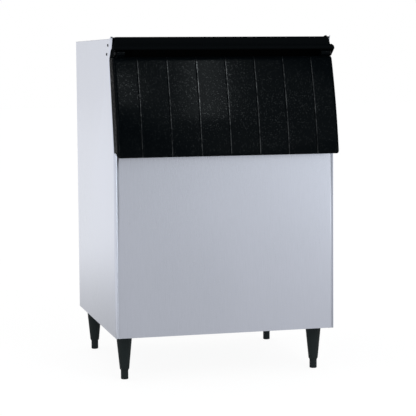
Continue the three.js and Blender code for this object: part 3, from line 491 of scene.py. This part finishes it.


# Places across the door, with the set-back of the face, the lift of the lip and the share of the groove edges' extra
# gloss and painted highlight there.
# The set-back is radius (1 - sin t) round the sides and a half cosine wave, depth (1 + cos) / 2, in the grooves.
def doorStations():
    turn = np.radians(np.linspace(0, 90, door["cornerPoints"]))
    radius = door["corner"]
    flats = np.array(door["cornerFlats"])
    side = np.concatenate([door["halfWidth"] - radius * (1 - np.cos(turn)), door["halfWidth"] - radius - flats])
    sideBack = np.concatenate([radius * (1 - np.sin(turn)), np.zeros(len(flats))])
    reach = door["halfWidth"] - door["grooveEnd"]
    centres = np.linspace(-reach, reach, door["grooveCount"])
    inside = np.linspace(-0.5, 0.5, door["groovePoints"])
    across = np.array([*door["beforeGroove"], *inside, *door["afterGroove"]])
    wave = door["grooveDepth"] * (0.5 + 0.5 * np.cos(2 * np.pi * across))
    groove = np.tile(np.where(np.abs(across) <= 0.5, wave, 0), len(centres))
    highlightEdgeRow = np.tile(np.interp(across, door["highlightEdgeAt"], door["highlightEdgeShare"]), len(centres))
    x = np.concatenate([-side, (centres[:, None] + across * door["grooveWidth"]).ravel(), side])
    back = np.concatenate([sideBack, groove, sideBack])
    lift = np.concatenate([sideBack, np.zeros(len(groove)), sideBack])
    highlightAndGlossEdge = np.concatenate([np.zeros(len(side)), highlightEdgeRow, np.zeros(len(side))])
    order = np.argsort(x, kind="stable")
    return x[order], back[order], lift[order], highlightAndGlossEdge[order]


def makeDoorShell():
    stations, backs, lifts, highlightAndGlossEdge = doorStations()
    profiles = doorProfiles(backs, lifts)
    y, z = onSlope(profiles[..., 1], profiles[..., 0])
    points = np.stack([np.broadcast_to(stations[:, None], y.shape), y, z], -1)
    rows, columns = y.shape
    faces = [*gridFaces(rows, columns).tolist(), range(columns), range((rows - 1) * columns, rows * columns)]
    shell = addPiece("doorShell", points, faces, "door_skin", values={"highlightAndGlossEdge": np.repeat(highlightAndGlossEdge, columns)})
    thicken(shell, door["wall"], False)


# A tongue about the pivot with a round bore. Its rings go outline, outline, bore, bore and the first outline again;
# each bore point lies on the line from the pivot to its outline point, at the bore's radius.
def makeDoorLug(side, word):
    pivot = np.array([door["pivotOut"], slopeLength + door["pivotRise"]])
    foot = door["top"] - door["lugFoot"]
    crown = arcPoints(pivot, door["lugRadius"], *door["lugTurn"], door["lugTurnSteps"])
    corners = np.array([crown[-1], [door["lugBack"], foot], [door["lugFront"], foot], crown[0]])
    share = np.linspace(0, 1, door["lugSidePoints"])[:-1, None]
    straight = [start + (end - start) * share for start, end in zip(corners[:-1], corners[1:])]
    outline = np.concatenate([*straight, crown[:-1]])
    spoke = outline - pivot
    bore = pivot + spoke / np.linalg.norm(spoke, axis=1)[:, None] * door["bushRadius"]
    rings = np.stack([outline, outline, bore, bore, outline])
    outer = halfWidth - door["lugInset"]
    inner = outer - door["lugWidth"]
    x = np.broadcast_to(np.array([inner, outer, outer, inner, inner])[:, None] * side, rings.shape[:2])
    y, z = onSlope(rings[..., 1], rings[..., 0])
    lug = addPiece("doorLug" + word, np.stack([x, y, z], -1), gridFaces(*x.shape, closed=True), "door_skin")
    roundEdges(lug, door["lugEdge"])


makeDoorShell()
for side, word in sides:
    makeDoorLug(side, word)
print("door made")

# Side panels and front panel: sheets folded in all round. The flange is how deep the front flanges go, and wide how
# deep the others go.
fold = {"sheet": 0.001, "radius": 0.0018, "roundLeft": 0.0105, "roundRight": 0.0018, "flangeLeft": 0.0072,
        "flangeRight": 0.0045, "wide": 0.020, "earFlangeTop": 0.9, "steps": 8}


# The same outline with each edge moved in by its own distance: each corner moves by the step that lies so far along
# both inward normals, a 2 by 2 system for each corner
def moveIn(outline, distances):
    leaving = np.roll(outline, -1, 0) - outline
    leaving /= np.linalg.norm(leaving, axis=1)[:, None]
    inward = np.stack([leaving[:, 1], -leaving[:, 0]], -1)
    normals = np.stack([np.roll(inward, 1, 0), inward], 1)
    wanted = np.stack([np.roll(distances, 1), distances], -1)
    return outline + np.linalg.solve(normals, wanted[..., None])[..., 0]


# Rings from the flat face, round the fold, back along the flanges: [a, b, depth] for each corner of each ring.
# At depth d an edge whose fold is r deep and w wide, a quarter of an ellipse, is moved in by
# w (1 - sqrt(1 - ((r - d) / r)^2)), and by nothing past its fold.
def foldedRings(outline, depths, radii, widths):
    turn = np.linspace(0, np.pi / 2, fold["steps"] + 1)
    bends = np.unique(np.round(np.outer(np.unique(radii), 1 - np.cos(turn)), meshing["digits"]))
    rings = []
    for depth in [*bends[bends < depths[0]], *depths]:
        left = np.clip(radii - depth, 0, None)
        edge = moveIn(outline, widths * (1 - np.sqrt(1 - (left / radii) ** 2)))
        rings.append(np.column_stack([edge, np.full(len(edge), depth)]))
    return np.array(rings)


# The flat face and the faces between the rings. An edge has the number of the corner that it starts from. The last
# row, the wide flange, is left out on the short edges, and a cut edge has no faces from a row on.
def foldedFaces(rings, shortEdges, cutEdge=None, cutFrom=0):
    rows, columns = rings.shape[:2]
    row, edge = np.divmod(np.arange((rows - 1) * columns), columns)
    isLeftOut = np.isin(edge, shortEdges) & (row == rows - 2)
    if cutEdge is not None:
        isLeftOut |= (edge == cutEdge) & (row >= cutFrom)
    return [*gridFaces(rows, columns, closed=True)[~isLeftOut].tolist(), range(columns)]


# The front, slope and ear edges have the side's own rounding. The ear's flange ends below its tip, and its top has
# none.
def makeSidePanel(side, word):
    front, notch, tip = 0, 2, 3
    outline = np.array([
        (frontPlane, cabinetBottom),
        (frontPlane, frontHigh.z),
        (frontPlane + slope["setback"], cabinetTop - slope["drop"]),
        (frontPlane + slope["earBack"], cabinetTop + slope["earRise"]),
        (frontPlane + slope["earTopBack"], cabinetTop),
        (sideHigh.y, cabinetTop),
        (sideHigh.y, cabinetBottom),
    ])
    radii = np.full(len(outline), fold["radius"])
    radii[front:tip] = fold["round" + word]
    rings = foldedRings(outline, [fold["flange" + word], fold["wide"]], radii, radii)
    flat = int(np.searchsorted(rings[:, front, 2], fold["radius"]))
    rings[flat + 1:, tip, :2] -= (outline[tip] - outline[notch]) * (1 - fold["earFlangeTop"])
    points = np.stack([side * (halfWidth - rings[..., 2]), rings[..., 0], rings[..., 1]], -1)
    faces = foldedFaces(rings, (front, notch), tip, flat)
    panel = addPiece(
        "sidePanel" + word, points, faces, word.lower() + "_side_panel", smoothAngle=meshing["foldAngle"])
    thicken(panel, fold["sheet"])


for side, word in sides:
    makeSidePanel(side, word)

# Left and right differ as the photograph's two corners do. A seam is the gap from the end of the side panel's front
# flange to the sheet's edge, and below 0 they overlap. The fold there is round deep and reaches in by its span. A tab
# closes each seam from behind: its depth is behind the front plane, and it ends so far inside the side.
frontSheet = {"seamLeft": -0.0010, "seamRight": 0.0010, "roundLeft": 0.0026, "spanLeft": 0.0125,
              "spanRight": 0.0075, "flange": 0.0031, "depthLeft": 0.0036, "depthRight": 0.0028,
              "tabLeft": 0.0045, "tabRight": 0.0028, "tabOverlap": 0.0002, "tabRise": 0.001}


def makeFrontPanel():
    left = fold["flangeLeft"] + frontSheet["seamLeft"] - halfWidth
    right = halfWidth - fold["flangeRight"] - frontSheet["seamRight"]
    outline = np.array([
        (left, cabinetBottom), (left, frontHigh.z), (right, frontHigh.z), (right, cabinetBottom)])
    radii = np.array([frontSheet["roundLeft"], fold["radius"], fold["radius"], fold["radius"]])
    widths = np.array([frontSheet["spanLeft"], fold["radius"], frontSheet["spanRight"], fold["radius"]])
    rings = foldedRings(outline, [frontSheet["flange"], fold["wide"]], radii, widths)
    faces = foldedFaces(rings, (0, 2))
    points = np.stack([rings[..., 0], frontPlane + rings[..., 2], rings[..., 1]], -1).reshape(-1, 3)
    for (side, word), seam in zip(sides, (left, right)):
        inner = seam - frontSheet["tabOverlap"] * side
        outer = (halfWidth - frontSheet["tab" + word]) * side
        y = frontPlane + frontSheet["depth" + word]
        low = cabinetBottom + frontSheet["tabRise"]
        faces.append(range(len(points), len(points) + 4))
        points = np.vstack([
            points, [(inner, y, low), (outer, y, low), (outer, y, frontHigh.z), (inner, y, frontHigh.z)]])
    panel = addPiece("frontPanelSheet", points, faces, "front_panel", smoothAngle=meshing["foldAngle"])
    thicken(panel, fold["sheet"])


makeFrontPanel()
print("panels made")

# Turned pieces: a profile of [radius, height] points carried round an axis. For each axis, the indices of the two
# directions across it and of its own.
turnedSides = 64
directions = {"x": (1, 2, 0), "y": (2, 0, 1), "z": (0, 1, 2)}


# Points at each radius and height round an axis through a centre: centre + radius (cos, sin), at the height
def roundAxis(radii, heights, angle, centre, axis):
    first, second, along = directions[axis]
    points = np.empty((len(radii), len(angle), 3))
    points[..., first] = centre[0] + radii * np.cos(angle)
    points[..., second] = centre[1] + radii * np.sin(angle)
    points[..., along] = heights
    return points


# Middle of a node's box across an axis
def middleOf(node, axis):
    low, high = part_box(node)
    first, second, _ = directions[axis]
    return (low[first] + high[first]) / 2, (low[second] + high[second]) / 2


def makeTurned(name, profile, node, axis="z"):
    angle = np.linspace(0, 2 * np.pi, turnedSides, endpoint=False)
    points = roundAxis(profile[:, :1], profile[:, 1:], angle, middleOf(node, axis), axis)
    addPiece(name, points, gridFaces(len(profile), turnedSides, closed=True), node)


# Legs: a cone with a rounded top rim, a shoulder near the floor and a bore for the foot
legShape = {"plateGap": 0.0002, "topRadius": 0.027, "topRound": 0.0015, "topTurn": (90, 5), "topSteps": 5,
            "taperInset": 0.0001, "taperDrop": 0.004, "taperSteps": 14, "bottomRadius": 0.0164, "shoulder": 0.039,
            "shoulderDrop": 0.001, "shoulderRound": 0.006, "shoulderTurn": (0, -60), "shoulderSteps": 8,
            "end": 0.0305, "endOuter": 0.0138, "endInner": 0.0132, "endCut": 0.0006, "bore": 0.013,
            "boreTop": 0.075}


def makeLeg(number):
    leg = legShape
    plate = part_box(f"leg_plate_{number}")[0].z
    top = plate - leg["plateGap"]
    rim = leg["topRadius"] - leg["topRound"]
    profile = np.concatenate([
        [[0.0, top], [rim, top]],
        arcPoints((rim, top - leg["topRound"]), leg["topRound"], *leg["topTurn"], leg["topSteps"]),
        np.column_stack([
            np.linspace(leg["topRadius"] - leg["taperInset"], leg["bottomRadius"], leg["taperSteps"]),
            np.linspace(plate - leg["taperDrop"], leg["shoulder"], leg["taperSteps"]),
        ]),
        arcPoints((leg["bottomRadius"] - leg["shoulderRound"], leg["shoulder"] - leg["shoulderDrop"]),
                  leg["shoulderRound"], *leg["shoulderTurn"], leg["shoulderSteps"]),
        [[leg["endOuter"], leg["end"] + leg["endCut"]], [leg["endInner"], leg["end"]],
         [leg["bore"], leg["end"]], [leg["bore"], leg["boreTop"]], [0.0, leg["boreTop"]]],
    ])
    makeTurned(f"legCone-{number}", profile, f"leg_{number}")


# Feet: a barrel with a rounded bottom edge, and its stud up into the leg
footShape = {"radius": 0.0127, "edge": 0.0028, "edgeSteps": 8, "top": 0.047, "topCut": 0.001, "stud": 0.0058,
             "studTop": 0.112}


def makeFoot(number):
    foot = footShape
    profile = np.concatenate([
        [[0.0, 0.0]],
        arcPoints((foot["radius"] - foot["edge"], foot["edge"]), foot["edge"], -90, 0, foot["edgeSteps"]),
        [[foot["radius"], foot["top"] - foot["topCut"]], [foot["radius"] - foot["topCut"], foot["top"]],
         [foot["stud"], foot["top"]], [foot["stud"], foot["studTop"]], [0.0, foot["studTop"]]],
    ])
    makeTurned(f"footBarrel-{number}", profile, f"foot_{number}")


for number in oneToFour:
    makeLeg(number)
    makeFoot(number)
print("legs and feet made")

# Hinge pins and bushes, turned about the door's pivot
hingeShape = {"pin": 0.004, "head": 0.0063, "headLength": 0.003, "chamfer": 0.0006, "bushOuter": 0.0059,
              "bushInner": 0.0043}


# The pin's profile starts at its inner end, with the head outermost
def makeHingePin(side, word):
    shape = hingeShape
    node = "hinge_pin_" + word.lower()
    low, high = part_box(node)
    cut = shape["chamfer"]
    length = high.x - low.x
    neck = length - shape["headLength"]
    profile = np.array([
        [0, 0], [shape["pin"] - cut, 0], [shape["pin"], cut], [shape["pin"], neck], [shape["head"], neck],
        [shape["head"], length - cut], [shape["head"] - cut, length], [0, length],
    ])
    profile[:, 1] = (high.x if side < 0 else low.x) + side * profile[:, 1]
    makeTurned("hingePin" + word, profile, node, "x")


def makeHingeBush(word):
    shape = hingeShape
    node = "hinge_bush_" + word.lower()
    low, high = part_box(node)
    cut = shape["chamfer"]
    profile = np.array([
        [shape["bushInner"], low.x], [shape["bushOuter"] - cut, low.x], [shape["bushOuter"], low.x + cut],
        [shape["bushOuter"], high.x - cut], [shape["bushOuter"] - cut, high.x], [shape["bushInner"], high.x],
        [shape["bushInner"], low.x],
    ])
    makeTurned("hingeBush" + word, profile, node, "x")


for side, word in sides:
    makeHingePin(side, word)
    makeHingeBush(word)

# Screws: a head with a cross recess on a plain shank. A pan head is domed, with an upright rim. A flat one tapers.
screwShape = {"sides": 48, "shank": 0.0019, "headHeight": 0.0022, "headRings": 16, "crossHalf": 0.0010,
              "crossReach": 0.0029, "crossDepth": 0.0013,
              "pan": {"radius": 0.0046, "faceInset": 0.0004, "dome": 0.0007, "rimDrop": 0.0012},
              "flat": {"radius": 0.004, "faceInset": 0.0001, "dome": 0, "rimDrop": None}}


# Across the head the surface lies below the top by dome (r / radius)^2 and by the cross, whose depth falls off as a
# smooth step of the distance from the nearer arm and of the reach along it. Then the rings go down the rim, in to
# the shank and along it.
def makeScrew(name, node, axis, outward, kind):
    shape = screwShape
    head = shape[kind]
    low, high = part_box(node)
    along = directions[axis][2]
    length = high[along] - low[along]
    angle = np.linspace(0, 2 * np.pi, shape["sides"], endpoint=False)
    radius = np.linspace(0, head["radius"] - head["faceInset"], shape["headRings"])[:, None]
    arm = np.minimum(np.abs(radius * np.cos(angle)), np.abs(radius * np.sin(angle)))
    depth = np.clip((shape["crossHalf"] - arm) / shape["crossHalf"], 0, 1)
    fade = np.clip((shape["crossReach"] - radius) / shape["crossHalf"], 0, 1)
    cross = shape["crossDepth"] * depth ** 2 * (3 - 2 * depth) * fade ** 2 * (3 - 2 * fade)
    face = -head["dome"] * (radius / head["radius"]) ** 2 - cross
    rim = []
    if head["rimDrop"]:
        rim = [[head["radius"], -head["rimDrop"]], [head["radius"], -shape["headHeight"]]]
    rest = np.array([*rim, [shape["shank"], -shape["headHeight"]], [shape["shank"], -length], [0, -length]])
    radii = np.concatenate([np.broadcast_to(radius, face.shape), np.repeat(rest[:, :1], len(angle), 1)])
    heights = np.concatenate([face, np.repeat(rest[:, 1:], len(angle), 1)])
    heights = (high[along] if outward > 0 else low[along]) + outward * heights
    points = roundAxis(radii, heights, angle, middleOf(node, axis), axis)
    addPiece(name, points, gridFaces(*radii.shape, closed=True), node, smoothAngle=meshing["screwAngle"])


for side, word in sides:
    for level in ("upper", "lower"):
        makeScrew(f"earScrew-{word.lower()}-{level}", f"ear_screw_{word.lower()}_{level}", "x", side, "pan")
for number in oneToFour:
    makeScrew(f"rearScrew-{number}", f"rear_screw_{number}", "y", 1, "pan")
    makeScrew(f"headerScrew-{number}", f"header_screw_{number}", "z", 1, "flat")
print("hinge parts and screws made")

# Header: the CAD shape with its ends drawn in towards the top, and a raised black horn inside the right ear. The horn
# is painted shade: a dark plate that stands in for the shaded inside of that ear's tip.
header = {"edge": 0.0012, "draw": 0.008, "drawFrom": 1.112, "endReach": 0.012, "topReach": 0.001}
horn = {"front": 0.010, "tip": 0.030, "tipHalf": 0.002, "rear": 0.056, "foot": 0.002, "below": 0.0006,
        "width": 0.003, "gap": 0.0005, "edge": 0.0005}


# An end moves in by draw times the share of the way up from drawFrom to the top. Returns how far out the ends then
# reach at the top.
def makeHeader():
    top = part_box("top_header")[1].z
    mesh = softened("top_header", header["edge"]).data
    points = np.empty(len(mesh.vertices) * 3)
    mesh.vertices.foreach_get("co", points)
    points = points.reshape(-1, 3)
    share = np.clip((points[:, 2] - header["drawFrom"]) / (top - header["drawFrom"]), 0, 1)
    isEnd = np.abs(points[:, 0]) > halfWidth - header["endReach"]
    points[:, 0] -= np.sign(points[:, 0]) * header["draw"] * share * isEnd
    mesh.vertices.foreach_set("co", points.ravel())
    mesh.materials[0] = headerBlack
    return np.abs(points[isEnd & (points[:, 2] > top - header["topReach"]), 0]).max()


# A thin upright plate: an outline of [y, z] carried from one x to the other
def makeHorn(headerEnd):
    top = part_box("top_header")[1].z
    tip = sideHigh.z - horn["below"]
    outline = np.array([
        [horn["front"], top - horn["foot"]], [horn["tip"] - horn["tipHalf"], tip],
        [horn["tip"] + horn["tipHalf"], tip], [horn["rear"], top], [horn["rear"], top - horn["foot"]],
    ])
    count = len(outline)
    outer = headerEnd - horn["gap"]
    points = np.empty((2, count, 3))
    points[..., 0] = np.array([outer - horn["width"], outer])[:, None]
    points[..., 1] = frontPlane + outline[:, 0]
    points[..., 2] = outline[:, 1]
    faces = [*gridFaces(2, count, closed=True).tolist(), range(count), range(count, 2 * count)]
    piece = addPiece("earShadeHorn", points, faces, "top_header")
    piece.data.materials[0] = headerBlack
    roundEdges(piece, horn["edge"])


makeHorn(makeHeader())
print("header made")

# Smaller pieces: the CAD shapes with their edges rounded by so much
edgeWidths = {
    "rear_panel": 0.0003, "base_pan": 0.0004, "front_rail": 0.0004,
    "access_frame": 0.0012, "liner": 0.0016, "door_liner": 0.0010, "ice_baffle": 0.0012,
    "baffle_guide_left": 0.0008, "baffle_guide_right": 0.0008, "door_gasket": 0.0012,
    "drain_fitting": 0.0008, "drain_nut": 0.0012, "drain_grate": 0.0004,
    "hinge_bracket_left": 0.0004, "hinge_bracket_right": 0.0004,
    **{f"leg_plate_{number}": 0.0008 for number in oneToFour},
    **{f"leg_nut_{number}": 0.0006 for number in oneToFour},
}
for nodeName, width in edgeWidths.items():
    softened(nodeName, width)
print("small pieces rounded")

# Camera, from the photograph's own perspective: angles in degrees, and the focal length in pixels of its frame
view = {"yaw": 14.384, "pitch": -4.574, "roll": -0.440, "focalPixels": 1512.5, "framePixels": 416, "sensor": 36.0,
        "shift": -0.06, "left": -1.3147, "ahead": 4.8857, "height": 1.0690, "farEnd": 60}


def makeCamera():
    yaw, pitch, roll = np.radians([view["yaw"], view["pitch"], view["roll"]])
    forward = Vector((np.sin(yaw) * np.cos(pitch), np.cos(yaw) * np.cos(pitch), np.sin(pitch)))
    level = Vector((np.cos(yaw), -np.sin(yaw), 0))
    upright = level.cross(forward)
    right = np.cos(roll) * level + np.sin(roll) * upright
    up = -np.sin(roll) * level + np.cos(roll) * upright
    data = bpy.data.cameras.new("camera")
    data.sensor_width = view["sensor"]
    data.lens = view["focalPixels"] / view["framePixels"] * view["sensor"]
    data.shift_y = view["shift"]
    data.clip_end = view["farEnd"]
    camera = bpy.data.objects.new("camera", data)
    bpy.context.scene.collection.objects.link(camera)
    turn = Matrix((right, up, -forward)).transposed().to_4x4()
    camera.matrix_world = Matrix.Translation((view["left"], frontPlane - view["ahead"], view["height"])) @ turn
    bpy.context.scene.camera = camera


makeCamera()

# Studio: a white floor that keeps a faint shadow, a surround that is white to the camera, and soft lamps.
# Shiny parts mirror grey tones of floor and surround instead. One tone goes over to the next between the two places
# of a Turn pair, which are in metres on the floor and parts of a direction 1 long in the surround.
studio = {
    "floorSize": 60.0, "floorTone": 0.6, "shadowShare": 0.3, "glow": 1.28, "ambient": 0.6,
    "lampTint": (0.9, 0.98, 1.0),
    "floorAhead": 0.58, "floorLeft": 0.95, "floorRight": 0.86, "floorBehind": 1.02,
    "floorRightTurn": (-0.6, 3.0), "floorLeftTurn": (-0.9, -2.5), "floorBehindTurn": (0.2, 3.6),
    "aheadLeft": 0.06, "aheadRight": 1.22, "left": 0.9, "behind": 0.9, "above": 0.08,
    "aheadTurn": (-0.1, 0.55), "leftTurn": (-0.5, -0.75), "behindTurn": (-0.5, 0.5),
    "aboveTurn": (0.1, 0.35), "aboveLeftTurn": (-0.3, -0.55),
}


def makeFloor():
    half = studio["floorSize"] / 2
    mesh = bpy.data.meshes.new("studioFloor")
    corners = np.array([[-half, -half, 0], [half, -half, 0], [half, half, 0], [-half, half, 0]])
    mesh.from_pydata(corners.tolist(), [], [[0, 1, 2, 3]])
    finish = Finish(bpy.data.materials.new("studioWhite"))
    across, depth = finish.parts(finish.node("ShaderNodeTexCoord", output="Object"), "XY")
    tone = finish.fade(across, studio["floorRightTurn"], grey(studio["floorAhead"]), grey(studio["floorRight"]))
    tone = finish.fade(across, studio["floorLeftTurn"], tone, grey(studio["floorLeft"]))
    tone = finish.fade(depth, studio["floorBehindTurn"], tone, grey(studio["floorBehind"]))
    seen = finish.node("ShaderNodeLightPath", output="Is Camera Ray")
    glossy = finish.node("ShaderNodeLightPath", output="Is Glossy Ray")
    matt = finish.node("ShaderNodeBsdfDiffuse", {}, {"Color": grey(studio["floorTone"])})
    mirrored = finish.node("ShaderNodeEmission", {}, {"Color": tone})
    glow = finish.node("ShaderNodeEmission", {}, {"Color": grey(1), "Strength": studio["glow"]})
    plain = finish.node("ShaderNodeMixShader", {}, {0: glossy, 1: matt, 2: mirrored})
    mixed = finish.node("ShaderNodeMixShader", {}, {0: seen * (1 - studio["shadowShare"]), 1: plain, 2: glow})
    finish.node("ShaderNodeOutputMaterial", {}, {"Surface": mixed})
    mesh.materials.append(finish.owner)
    floor = bpy.data.objects.new("studioFloor", mesh)
    bpy.context.scene.collection.objects.link(floor)


def makeSurround():
    finish = Finish(bpy.data.worlds.new("studioSurround"))
    bpy.context.scene.world = finish.owner
    across, depth, height = finish.parts(finish.node("ShaderNodeTexCoord", output="Generated"), "XYZ")
    level = finish.fade(across, studio["aheadTurn"], grey(studio["aheadLeft"]), grey(studio["aheadRight"]))
    level = finish.fade(across, studio["leftTurn"], level, grey(studio["left"]))
    level = finish.fade(depth, studio["behindTurn"], level, grey(studio["behind"]))
    above = finish.fade(across, studio["aboveLeftTurn"], grey(studio["above"]), grey(studio["left"]))
    mirrored = finish.fade(height, studio["aboveTurn"], level, above)
    glossy = finish.node("ShaderNodeLightPath", output="Is Glossy Ray")
    seen = finish.node("ShaderNodeLightPath", output="Is Camera Ray")
    lit = finish.mix(glossy, grey(studio["ambient"]), mirrored)
    background = finish.node("ShaderNodeBackground", {}, {"Color": finish.mix(seen, lit, grey(1))})
    finish.node("ShaderNodeOutputWorld", {}, {"Surface": background})


# Each lamp: its place, what it faces, its width and height, its power in watts, and its roll in degrees
lamps = {
    "softboxLeft": {
        "place": (-1.77, -3.3, 0.75), "target": (-0.38, -0.33, 0.6), "size": (0.25, 1.8), "power": 9, "roll": 0},
    "softboxRight": {
        "place": (2.2, -2.7, 0.7), "target": (0, 0, 0.5), "size": (1.5, 1.2), "power": 2.7, "roll": 0},
    "softboxHigh": {
        "place": (0.80, -3.0, 2.3), "target": (0, -0.35, 0.95), "size": (1.2, 1.9), "power": 8, "roll": 24},
    "glintMiddle": {
        "place": (0.71, -2.98, 2.55), "target": (0, -0.35, 0.95), "size": (0.2, 1.2), "power": 5, "roll": -6},
    "glintLeft": {
        "place": (0.25, -2.98, 2.5), "target": (-0.3, -0.35, 1.0), "size": (0.12, 0.6), "power": 1.2, "roll": 0},
}


def makeLamp(name):
    choice = lamps[name]
    data = bpy.data.lights.new(name, "AREA")
    data.shape = "RECTANGLE"
    data.size, data.size_y = choice["size"]
    data.energy = choice["power"]
    data.color = studio["lampTint"]
    lamp = bpy.data.objects.new(name, data)
    bpy.context.scene.collection.objects.link(lamp)
    lamp.location = choice["place"]
    lamp.visible_camera = False
    aimed = (Vector(choice["target"]) - Vector(choice["place"])).to_track_quat("-Z", "Y")
    lamp.rotation_mode = "QUATERNION"
    lamp.rotation_quaternion = aimed @ Quaternion((0, 0, 1), np.radians(choice["roll"]))


makeFloor()
makeSurround()
for lampName in lamps:
    makeLamp(lampName)
bpy.context.scene.view_settings.view_transform = "Standard"
print("camera and studio made")
